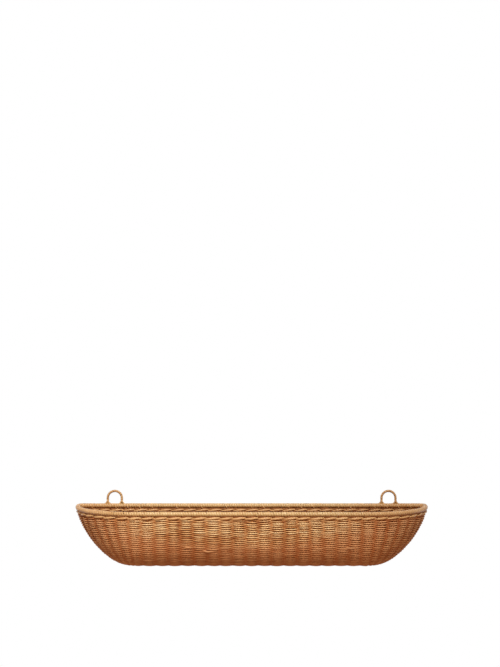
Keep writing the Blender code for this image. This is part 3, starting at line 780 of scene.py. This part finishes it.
depths, row_numbers = row_table()
row_total = round(row_numbers[-1])
row_depths = np.interp(np.arange(row_total) - ROW_SHIFT, row_numbers * row_total / row_numbers[-1], depths)
wall_rows = [depth for depth in row_depths if depth <= 1]
base_rows = [depth for depth in row_depths if depth > 1]
outline_zs = np.array([outline_point(depth)[2] for depth in wall_rows])
back_top = outline_zs[0]
back_fall = back_top - BASE_Z - EDGE_RADIUS
back_rows = round(back_fall / BACK_PITCH)
back_heights = back_top - BACK_SAG / 2 - np.arange(back_rows) * (back_fall - BACK_SAG / 2) / (back_rows - 0.5)
continued = {}
latest = -1
for number, back_z in enumerate(back_heights):
    left = [row for row in range(latest + 1, len(wall_rows)) if (row - number) % 2 == 0]
    latest = min(left, key=lambda row: abs(outline_zs[row] - back_z))
    continued[latest] = back_z

wall_strands = []
for row, depth in enumerate(wall_rows):
    if row in continued:
        wall_strands.append(full_round(depth, parity_of(row), continued[row]))
    else:
        limit = BACK_RUN + TAIL_RUN if depth < LOW_DEPTH else CORNER_RUN
        wall_strands.append(short_round(depth, parity_of(row), limit))

base_strands = []
for row, depth in enumerate(base_rows):
    base_strands.append(short_round(depth, parity_of(row + len(wall_rows)), EDGE_RUN + BASE_TAIL_RUN))
edge_rows = round(EDGE_RADIUS * QUARTER_TURN / BACK_PITCH)
edge_room = EDGE_RADIUS * QUARTER_TURN / (edge_rows - 0.5) * WEAVER_OVERLAPS[1]
edge_half = FRONT_HALF + BASE_END_REACH + TUCK_LENGTH
edge_xs = np.linspace(-edge_half, edge_half, 2 * STRAIGHT_GAPS * STEPS_PER_GAP + 1)
edge_counts = stake_count(edge_xs, 2.0)
for row in range(edge_rows):
    points, outward = base_edge_places(edge_xs, QUARTER_TURN * row / (edge_rows - 0.5))
    weave = parity_of(row) * WEAVE_SWING * crossing(edge_counts, STRAIGHT_GAPS, 1.0)
    weave = np.where(np.abs(edge_xs) > edge_half - TUCK_LENGTH, -WEAVE_SWING, weave)
    shift = uneven(edge_counts, STRAIGHT_GAPS, CROWD)
    base_strands.append(lay_weaver(points, outward, weave, shift, False, edge_room))

third = len(wall_strands) // 3
upper_weaving = make_piece("upper_weaving", wall_strands[:third], weaver_material)
make_piece("middle_weaving", wall_strands[third:2 * third], weaver_material)
make_piece("lower_weaving", wall_strands[2 * third:], weaver_material)
make_piece("base_weaving", base_strands, weaver_material)
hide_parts(*[f"{wall}_weave_{side}" for wall in ("front", "back", "left_end", "right_end")
                             for side in ("outside", "inside")])


# Twined row
# Two thicker strands of rattan that twist round every stake above the weaving and lock
# its last round. Seen from outside, each stroke climbs to the right. Two rounds, kept dark
# as painted shade, fill the gap up to the rim, and thin ties come down over the rim's inner
# side.

STRAND_RADIUS = 0.00165
STRAND_SIDES = 10
STRAND_STEPS = 12
STRAND_SWING = STAKE_RADIUS + STRAND_RADIUS + 0.0002
STRAND_LIFT = 0.0011
STRAND_HOLD = 0.5         # under one keeps a strand on its face for longer
STRAND_SPREAD = 0.6       # how much wider a strand lies over a stake than between two
STRAND_LEAN = 0.05
STRAND_VARIES = 0.04
STRAND_SWELL = 0.05
STRAND_SWELL_RATE = 0.9
STRAND_SWELL_STEP = 3     # sets the swell of one strand apart from the other's
STRAND_TONE_STEP = 0.15

# The twining strands get painted shade where they touch and on the faces that look down.
strand_material = rattan_material(
    "twining_rattan",
    [(0.0, (0.40, 0.17, 0.053)), (0.35, (0.62, 0.33, 0.125)),
     (0.65, (0.75, 0.48, 0.215)), (1.0, (0.83, 0.63, 0.36))],
    roughness=0.45, fibre=(18.0, 7.0, 0.7), patch=(9.0, 0.4), strand=0.3, bump=(0.4, 0.0003), touch_shade=0.2,
    underside_shade_tint=(0.94, 0.76, 0.60))

twine_depth = depth_at_drop(TWINE_DROP)
twine_half_length = BACK_RUN + outline_point(twine_depth)[0]
side_xs = np.linspace(FRONT_HALF, CORNER_X, SIDE_GAPS + 1)[-2:0:-1]
half_stops = [number * STAKE_PITCH for number in range(STRAIGHT_GAPS + 1)]
half_stops += [FRONT_HALF + number * FAN_PITCH for number in range(1, FAN_GAPS + 1)]
half_stops += [twine_half_length - x for x in side_xs]
half_stops += [twine_half_length - number * STAKE_PITCH for number in range(STRAIGHT_GAPS, -1, -1)]
twine_stops = np.array(half_stops + [2 * twine_half_length - run for run in half_stops[-2:0:-1]])
stop_total = len(twine_stops)

counts = np.arange(stop_total * STRAND_STEPS) / STRAND_STEPS
twine_runs = np.interp(counts, np.arange(stop_total + 1), np.append(twine_stops, 2 * twine_half_length))
twine_runs = np.where(twine_runs > twine_half_length, twine_runs - 2 * twine_half_length, twine_runs)
twine_points, twine_outward = wall_places(twine_runs, twine_depth)
twine_outward = unit(twine_outward * LEVEL)
past_edge = np.clip((np.abs(twine_runs) - EDGE_RUN) / SETTLE_RUN, 0.0, 1.0)
twine_points[:, 2] = RIM_Z - TWINE_DROP - BACK_SAG * past_edge


def by_stop(middle, spread):
    """A random amount at each stop of a strand, the same at its end as at its start."""
    values = rng.normal(middle, spread, stop_total + 1)
    values[-1] = values[0]
    return np.interp(counts, np.arange(stop_total + 1), values)


def twining_strand(phase):
    """One strand of the twined row; the other is half a turn on."""
    turn = np.pi * (counts + phase + by_stop(0.0, STRAND_LEAN))
    swing = STRAND_SWING * by_stop(1.0, STRAND_VARIES)
    cos = np.cos(turn)
    centre = twine_points + twine_outward * (swing * np.sign(cos) * np.abs(cos) ** STRAND_HOLD)[:, None]
    centre = centre + UP * (STRAND_LIFT * np.sin(turn))[:, None]
    swell = 1 + STRAND_SWELL * np.sin(counts * STRAND_SWELL_RATE + phase * STRAND_SWELL_STEP)
    return tube(centre, twine_outward, STRAND_RADIUS * swell, STRAND_SIDES, closed=True,
                tone=0.5 + STRAND_TONE_STEP * phase, spread=1 + STRAND_SPREAD * cos ** 2)


twined_row = make_piece("twined_row", [twining_strand(0), twining_strand(1)], strand_material)
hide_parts("first_twining_strand", "second_twining_strand")

TOP_ROUND_DROP = 0.0061
TOP_ROUND_RADIUS = 0.0013
TOP_ROUND_SWING = 0.0021
TOP_ROUND_STEP = 0.0004   # one of the two rounds lies this much above the middle, the other below
TOP_ROUND_SPREAD = 1.7

# Its colours are kept dark as painted shade: the two rounds sit in the shade under the rim.
shade_filler_material = rattan_material(
    "shaded_filler_round",
    [(0.2, (0.17, 0.053, 0.018)), (0.9, (0.54, 0.23, 0.08))],
    roughness=0.7, fibre=(18.0, 7.0, 0.7), patch=(9.0, 0.4), strand=0.3, bump=(0.4, 0.0003))

top_strands = []
for side in (-1, 1):
    centre = twine_points + UP * (TWINE_DROP - TOP_ROUND_DROP + side * TOP_ROUND_STEP)
    centre = centre + twine_outward * (side * TOP_ROUND_SWING * np.cos(np.pi * counts))[:, None]
    top_strands.append(
        tube(centre, twine_outward, TOP_ROUND_RADIUS, STRAND_SIDES, closed=True, spread=TOP_ROUND_SPREAD))
make_piece("top_round", top_strands, shade_filler_material)

TIE_RADIUS = 0.0010
TIE_SIDES = 8
TIE_SHARE = 0.75          # share of the stakes that have one
TIE_LEAN = 0.0055
TIE_LEANS = (0.6, 1.2)
TIE_TONES = (0.4, 1.0)
TIE_SEAT = 0.7            # share of its radius by which a tie stands off the rim
TIE_TURNS = np.linspace(-0.35, 1.35, 7)
TIE_MIDDLE = 0.5
TIE_SPAN = 1.7            # turn over which a tie leans by its whole lean
TIE_END = (0.0032, 0.0088, 0.62)    # its end, inward and down, and the share of the lean there

tie_strands = []
for number in range(stop_total):
    if rng.uniform() > TIE_SHARE:
        continue
    near = number * STRAND_STEPS
    centre = twine_points[near] + UP * TWINE_DROP
    inward = -twine_outward[near]
    lean = np.cross(twine_outward[near], UP) * TIE_LEAN * rng.uniform(*TIE_LEANS)
    points = [centre + (inward * np.cos(turn) - UP * np.sin(turn)) * (RIM_RADIUS + TIE_RADIUS * TIE_SEAT)
              + lean * (turn - TIE_MIDDLE) / TIE_SPAN for turn in TIE_TURNS]
    points.append(centre + inward * TIE_END[0] - UP * TIE_END[1] + lean * TIE_END[2])
    tie_strands.append(tube(np.array(points), np.tile(inward, (len(points), 1)), TIE_RADIUS, TIE_SIDES,
                            tone=rng.uniform(*TIE_TONES)))
make_piece("rim_ties", tie_strands, strand_material)


# Rim
# A bent rod in the shape of the mouth, wrapped edge to edge in flat split cane. The
# cane's glossy skin faces out, and its turns show as ribs. Now and then a turn leans.

ROD_RADIUS = 0.0041       # of the rod, with the seam under the cane
CANE_WIDTH = 0.0056
CANE_THICKNESS = 0.0013
CANE_TURN_PITCH = 0.0056
CANE_STEPS = 14
CANE_LEAN = 0.0005
CANE_WIDTH_VARIES = 0.05
CANE_PROUD_VARIES = 0.06  # of its thickness
CANE_TONE_VARIES = 0.2
CANE_SECTION = ((-0.5, 0.0), (-0.5, 0.55), (-0.3, 0.9), (0.0, 1.0), (0.3, 0.9), (0.5, 0.55), (0.5, 0.0))
LOOK_AHEAD = 0.0001
RIM_HALF_LENGTH = BACK_RUN + FRONT_HALF + RIM_END_REACH - EDGE_RADIUS

# The cane gets painted shade towards the base and the ends and on the faces that look down.
cane_material = rattan_material(
    "wrapping_cane",
    [(0.0, (0.36, 0.17, 0.057)), (0.3, (0.56, 0.333, 0.128)),
     (0.6, (0.65, 0.437, 0.197)), (1.0, (0.76, 0.585, 0.325))],
    roughness=0.34, fibre=(14.0, 11.0, 0.5), patch=(13.0, 0.4), strand=0.35, bump=(0.3, 0.0002),
    low_shade_tint=(1.0, 0.88, 0.82), underside_shade_tint=(0.72, 0.53, 0.38))
rod_material = rattan_material(
    "bent_rod",
    [(0.2, (0.22, 0.10, 0.04)), (0.8, (0.46, 0.27, 0.12))],
    roughness=0.6, fibre=(20.0, 6.0, 0.5), patch=(12.0, 0.4), strand=0.3, bump=(0.3, 0.0003))


def rim_places(runs):
    """Points and level outward directions along the rim's centre line."""
    wrapped = (runs + RIM_HALF_LENGTH) % (2 * RIM_HALF_LENGTH) - RIM_HALF_LENGTH
    points, outward = wall_places(wrapped, 0.0)
    return points, unit(outward * LEVEL)


def band(centres, lifts, alongs, widths, thickness, tones, closed=False):
    """A flat, slightly crowned band of cane wound round something.

    Each section stands on its centre, with its back to the core: lifts point away from
    the core and alongs across the band's width.
    """
    rings = np.stack([centres + alongs * (widths * wide)[:, None] + lifts * thickness * high
                      for wide, high in CANE_SECTION], axis=1)
    across = np.array([wide + 0.5 for wide, _ in CANE_SECTION])
    lay = beside(lengths_along(centres)[:, None], across[None, :], tones[:, None], 0.0)
    return rings.reshape(-1, 3), ring_faces(len(centres), len(CANE_SECTION), closed), lay.reshape(-1, 4)


def wound_band(places, length, turns, core_radius, width, thickness, lean=0.0, closed=False, start=0.0):
    """Cane wound round a bent core: places gives the core's points and outward directions."""
    count = turns * CANE_STEPS
    steps = np.arange(count if closed else count + 1)
    turn_numbers = steps / CANE_STEPS
    runs = start + length * steps / count
    points, outward = places(runs)
    ahead, _ = places(runs + LOOK_AHEAD)
    along = unit(ahead - points)
    side = np.cross(along, outward)
    angle = 2 * np.pi * turn_numbers
    lifts = outward * np.cos(angle)[:, None] + side * np.sin(angle)[:, None]
    heading = side * np.cos(angle)[:, None] - outward * np.sin(angle)[:, None]
    lead = np.arctan2(length / turns, 2 * np.pi * (core_radius + thickness / 2))
    leaning = rng.normal(0.0, lean, turns + 1)
    wide = rng.normal(1.0, CANE_WIDTH_VARIES, turns + 1)
    proud = np.abs(rng.normal(0.0, CANE_PROUD_VARIES, turns + 1))
    tone = np.clip(rng.normal(0.5, CANE_TONE_VARIES, turns + 1), 0, 1)
    if closed:
        for values in (leaning, wide, proud, tone):
            values[-1] = values[0]
    leaning, wide, proud, tone = [np.interp(turn_numbers, np.arange(turns + 1), values)
                                  for values in (leaning, wide, proud, tone)]
    points, _ = places(runs + leaning * np.sin(angle))
    alongs = along * np.cos(lead) - heading * np.sin(lead)
    centres = points + lifts * (core_radius + thickness * proud)[:, None]
    return band(centres, lifts, alongs, width * wide, thickness, tone, closed)


rim_turns = int(2 * RIM_HALF_LENGTH / CANE_TURN_PITCH)
rim_band = wound_band(rim_places, 2 * RIM_HALF_LENGTH, rim_turns, ROD_RADIUS, CANE_WIDTH, CANE_THICKNESS,
                      lean=CANE_LEAN, closed=True)
rim_cane = make_piece("rim_cane", [rim_band], cane_material)
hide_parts("rim_wrapping")

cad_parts["rim_rod"].data.materials.clear()
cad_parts["rim_rod"].data.materials.append(rod_material)


# Hanging loops
# Two bent canes whose legs stand in the back rim, each wound from foot to foot with a
# flat strip. A few crossed turns of cane bind each leg to the rim.

LOOP_BEND_RADIUS = 0.016
LOOP_STAND = 0.0175       # height of the bend's centre over the rim's centre line
LOOP_CORE_RADIUS = 0.0014
LOOP_STRIP_WIDTH = 0.0056
LOOP_STRIP_THICKNESS = 0.0013
LOOP_TURN_PITCH = 0.0056
LOOP_LEAN = 0.0002
LOOP_LEG = LOOP_STAND - RIM_RADIUS
LOOP_BEND = LOOP_BEND_RADIUS * np.pi
LOOP_LENGTH = LOOP_BEND + 2 * LOOP_LEG
FOOT_TURNS = 2
FOOT_REACH = 0.0055
FOOT_CORE_RADIUS = RIM_RADIUS - 0.0003
FOOT_WIDTH = 0.0034
FOOT_THICKNESS = 0.0009
STRIP_START = 0.0043      # slanted strips tie each leg down over the rim, from here
STRIP_REACH = 0.0068      # to here, along the rim
STRIP_LIFT = RIM_RADIUS + 0.0004
STRIP_TOPS = ((0.0, 0.0027, 0.0066), (0.0019, 0.0024, 0.0032))    # aside, before the leg and over the rim
STRIP_CREST = 0.0012      # how far before the leg a strip lies on the rim's top
STRIP_WRAP = 0.6          # how far it goes under the rim, of a quarter turn
STRIP_STEPS = 9
STRIP_SIDES = 10
STRIP_HALF_THICKNESS = 0.0008
STRIP_SPREAD = 2.0
STRIP_TONES = (0.5, 1.0)


def loop_places(runs, middle_x):
    """Points and outward directions along a loop, from its left foot."""
    turn = np.clip((runs - LOOP_LEG) / LOOP_BEND_RADIUS, 0.0, np.pi)
    outward = beside(-np.cos(turn), 0.0, np.sin(turn))
    rise = np.where(runs < LOOP_LEG, runs - LOOP_LEG,
                    np.where(runs > LOOP_LEG + LOOP_BEND, LOOP_LEG + LOOP_BEND - runs, 0.0))
    middle = np.array([middle_x, BACK_Y, RIM_Z + LOOP_STAND])
    return middle + outward * LOOP_BEND_RADIUS + UP * rise[:, None], outward


def foot_places(runs, foot_x):
    """Points along the rim by a foot of a loop, and the way up."""
    return beside(foot_x + runs, BACK_Y, RIM_Z), np.tile(UP, (len(runs), 1))


def foot_strip(foot_x, lean):
    """A strip that comes down from a leg, leans aside and goes round the front of the rim."""
    over = np.linspace(QUARTER_TURN, -QUARTER_TURN * STRIP_WRAP, STRIP_STEPS)
    front = beside(foot_x + lean * np.linspace(STRIP_START, STRIP_REACH, STRIP_STEPS),
                   BACK_Y - STRIP_LIFT * np.cos(over), RIM_Z + STRIP_LIFT * np.sin(over))
    front[0, 1] -= STRIP_CREST
    top = np.array([[foot_x + lean * aside, BACK_Y - before, RIM_Z + STRIP_LIFT + above]
                    for aside, before, above in STRIP_TOPS])
    low = over[1:]
    lifts = np.concatenate([np.tile(-BACKWARD, (len(top) + 1, 1)), beside(0.0, -np.cos(low), np.sin(low))])
    return tube(np.concatenate([top, front]), lifts, STRIP_HALF_THICKNESS, STRIP_SIDES,
                tone=rng.uniform(*STRIP_TONES), spread=STRIP_SPREAD)


loop_turns = round(LOOP_LENGTH / LOOP_TURN_PITCH)
for label in ("left", "right"):
    low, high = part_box(f"{label}_loop_core")
    loop_x = (low.x + high.x) / 2
    winding = wound_band(lambda runs: loop_places(runs, loop_x), LOOP_LENGTH, loop_turns, LOOP_CORE_RADIUS,
                         LOOP_STRIP_WIDTH, LOOP_STRIP_THICKNESS, lean=LOOP_LEAN)
    bindings = []
    for foot in (-1, 1):
        foot_x = loop_x + foot * LOOP_BEND_RADIUS
        for lean in (-1, 1):
            bindings.append(wound_band(
                lambda runs: foot_places(runs, foot_x), lean * 2 * FOOT_REACH, FOOT_TURNS, FOOT_CORE_RADIUS,
                FOOT_WIDTH, FOOT_THICKNESS, start=-lean * FOOT_REACH))
            bindings.append(foot_strip(foot_x, lean))
    loop_cane = make_piece(f"{label}_loop_cane", [winding], cane_material)
    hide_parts(f"{label}_loop_winding")
    make_piece(f"{label}_loop_bindings", bindings, cane_material)
    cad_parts[f"{label}_loop_core"].data.materials.clear()
    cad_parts[f"{label}_loop_core"].data.materials.append(rod_material)


# The studio
# A pale floor far below the hanging basket, a soft lamp from above the viewer, and a
# camera straight in front of it, a little over its rim.

FLOOR_DROP = 0.95
FLOOR_HALF = 2.4          # it ends before the camera would see it
FLOOR_COLOUR = (0.80, 0.79, 0.77, 1.0)
FLOOR_BOUNCE = (0.95, 0.64, 0.45, 1.0)
FLOOR_ROUGHNESS = 0.9
FLOOR_GLOW = 0.42         # makes the lit floor nearly white and keeps the shadow on it
FADE_START = 0.9
WHITE = (1.0, 1.0, 1.0, 1.0)
AMBIENT_COLOUR = (1.0, 0.80, 0.63, 1.0)
AMBIENT_LEVEL = 0.37
LAMP_PLACE = (-0.08, -1.47, 1.36)
LAMP_TARGET_X = -0.13
LAMP_SIZE = 0.9
LAMP_POWER = 3.35
LAMP_COLOUR = (1.0, 0.98, 0.95)
LAMP_BEAM = np.radians(42.0)
CAMERA_DISTANCE = 3.128   # from the back rim's plane
CAMERA_RISE = 0.3937      # over the rim's centre line
CAMERA_X = -0.0038
FOCAL_PIXELS = 1365.0
PHOTO_HEIGHT = 667.0
SENSOR_SIZE = 36.0


def seen_mask(tree):
    """A value of 1 for rays that see the surface, mirror it or pass through glass to it."""
    rays = add_node(tree, "ShaderNodeLightPath", {})
    direct = add_math(tree, "MAXIMUM", rays["Is Camera Ray"], rays["Is Glossy Ray"])
    return add_math(tree, "MAXIMUM", direct, rays["Is Transmission Ray"])


def mix_shaders(tree, share, first, second):
    """The second shader by its share, the first one otherwise."""
    return add_node(tree, "ShaderNodeMixShader", {"Fac": share, 1: first, 2: second})[0]


world = bpy.data.worlds.new("studio_world")
world.use_nodes = True
bpy.context.scene.world = world
tree = world.node_tree
ambient = tree.nodes["Background"]
feed(tree, ambient, {"Color": AMBIENT_COLOUR, "Strength": AMBIENT_LEVEL})
plain = add_node(tree, "ShaderNodeBackground", {"Color": WHITE, "Strength": 1.0})[0]
surround = mix_shaders(tree, seen_mask(tree), ambient.outputs[0], plain)
feed(tree, tree.nodes["World Output"], {"Surface": surround})

floor_z = BASE_Z - FLOOR_DROP
floor_mesh = bpy.data.meshes.new("floor")
corners = [(FLOOR_HALF * x, FLOOR_HALF * y, floor_z) for x, y in ((-1, -1), (1, -1), (1, 1), (-1, 1))]
floor_mesh.from_pydata(corners, [], [(0, 1, 2, 3)])
floor = add_object("floor", floor_mesh)
floor_material = bpy.data.materials.new("pale_floor")
floor_material.use_nodes = True
floor_mesh.materials.append(floor_material)
tree = floor_material.node_tree
seen = seen_mask(tree)
shade = add_node(tree, "ShaderNodeMix", {"Factor": seen, "A": FLOOR_BOUNCE, "B": FLOOR_COLOUR},
                 data_type="RGBA")
matt = tree.nodes["Principled BSDF"]
feed(tree, matt, {"Base Color": shade["Result"], "Roughness": FLOOR_ROUGHNESS})
glow = add_node(tree, "ShaderNodeEmission", {"Strength": FLOOR_GLOW})[0]
lit = add_node(tree, "ShaderNodeAddShader", {0: matt.outputs[0], 1: glow})[0]
place = add_node(tree, "ShaderNodeNewGeometry", {})
away = add_node(tree, "ShaderNodeVectorMath", {0: place["Position"], 1: (0.0, 0.0, floor_z)},
                operation="DISTANCE")
fade = add_range(tree, away["Value"], FADE_START, FLOOR_HALF, "SMOOTHSTEP")
white = add_node(tree, "ShaderNodeEmission", {})[0]
upper_side = mix_shaders(tree, seen, matt.outputs[0], mix_shaders(tree, fade, lit, white))
clear = add_node(tree, "ShaderNodeBsdfTransparent", {})[0]
surface = mix_shaders(tree, place["Backfacing"], upper_side, clear)
feed(tree, tree.nodes["Material Output"], {"Surface": surface})

lamp_target = (LAMP_TARGET_X, BACK_Y - RIM_SPAN / 2, RIM_Z - BODY_DROP / 2)
lamp_data = bpy.data.lights.new("key_lamp", "AREA")
lamp_data.shape = "SQUARE"
lamp_data.size = LAMP_SIZE
lamp_data.energy = LAMP_POWER
lamp_data.color = LAMP_COLOUR
lamp_data.spread = LAMP_BEAM
lamp = add_object("key_lamp", lamp_data)
lamp.location = LAMP_PLACE
lamp.rotation_euler = (Vector(LAMP_PLACE) - Vector(lamp_target)).to_track_quat("Z", "Y").to_euler()

camera_data = bpy.data.cameras.new("camera")
camera_data.sensor_width = SENSOR_SIZE
camera_data.lens = FOCAL_PIXELS / PHOTO_HEIGHT * SENSOR_SIZE
camera = add_object("camera", camera_data)
camera.location = (CAMERA_X, -CAMERA_DISTANCE, RIM_Z + CAMERA_RISE)
camera.rotation_euler = (QUARTER_TURN, 0.0, 0.0)
bpy.context.scene.camera = camera
bpy.context.scene.view_settings.view_transform = "Standard"
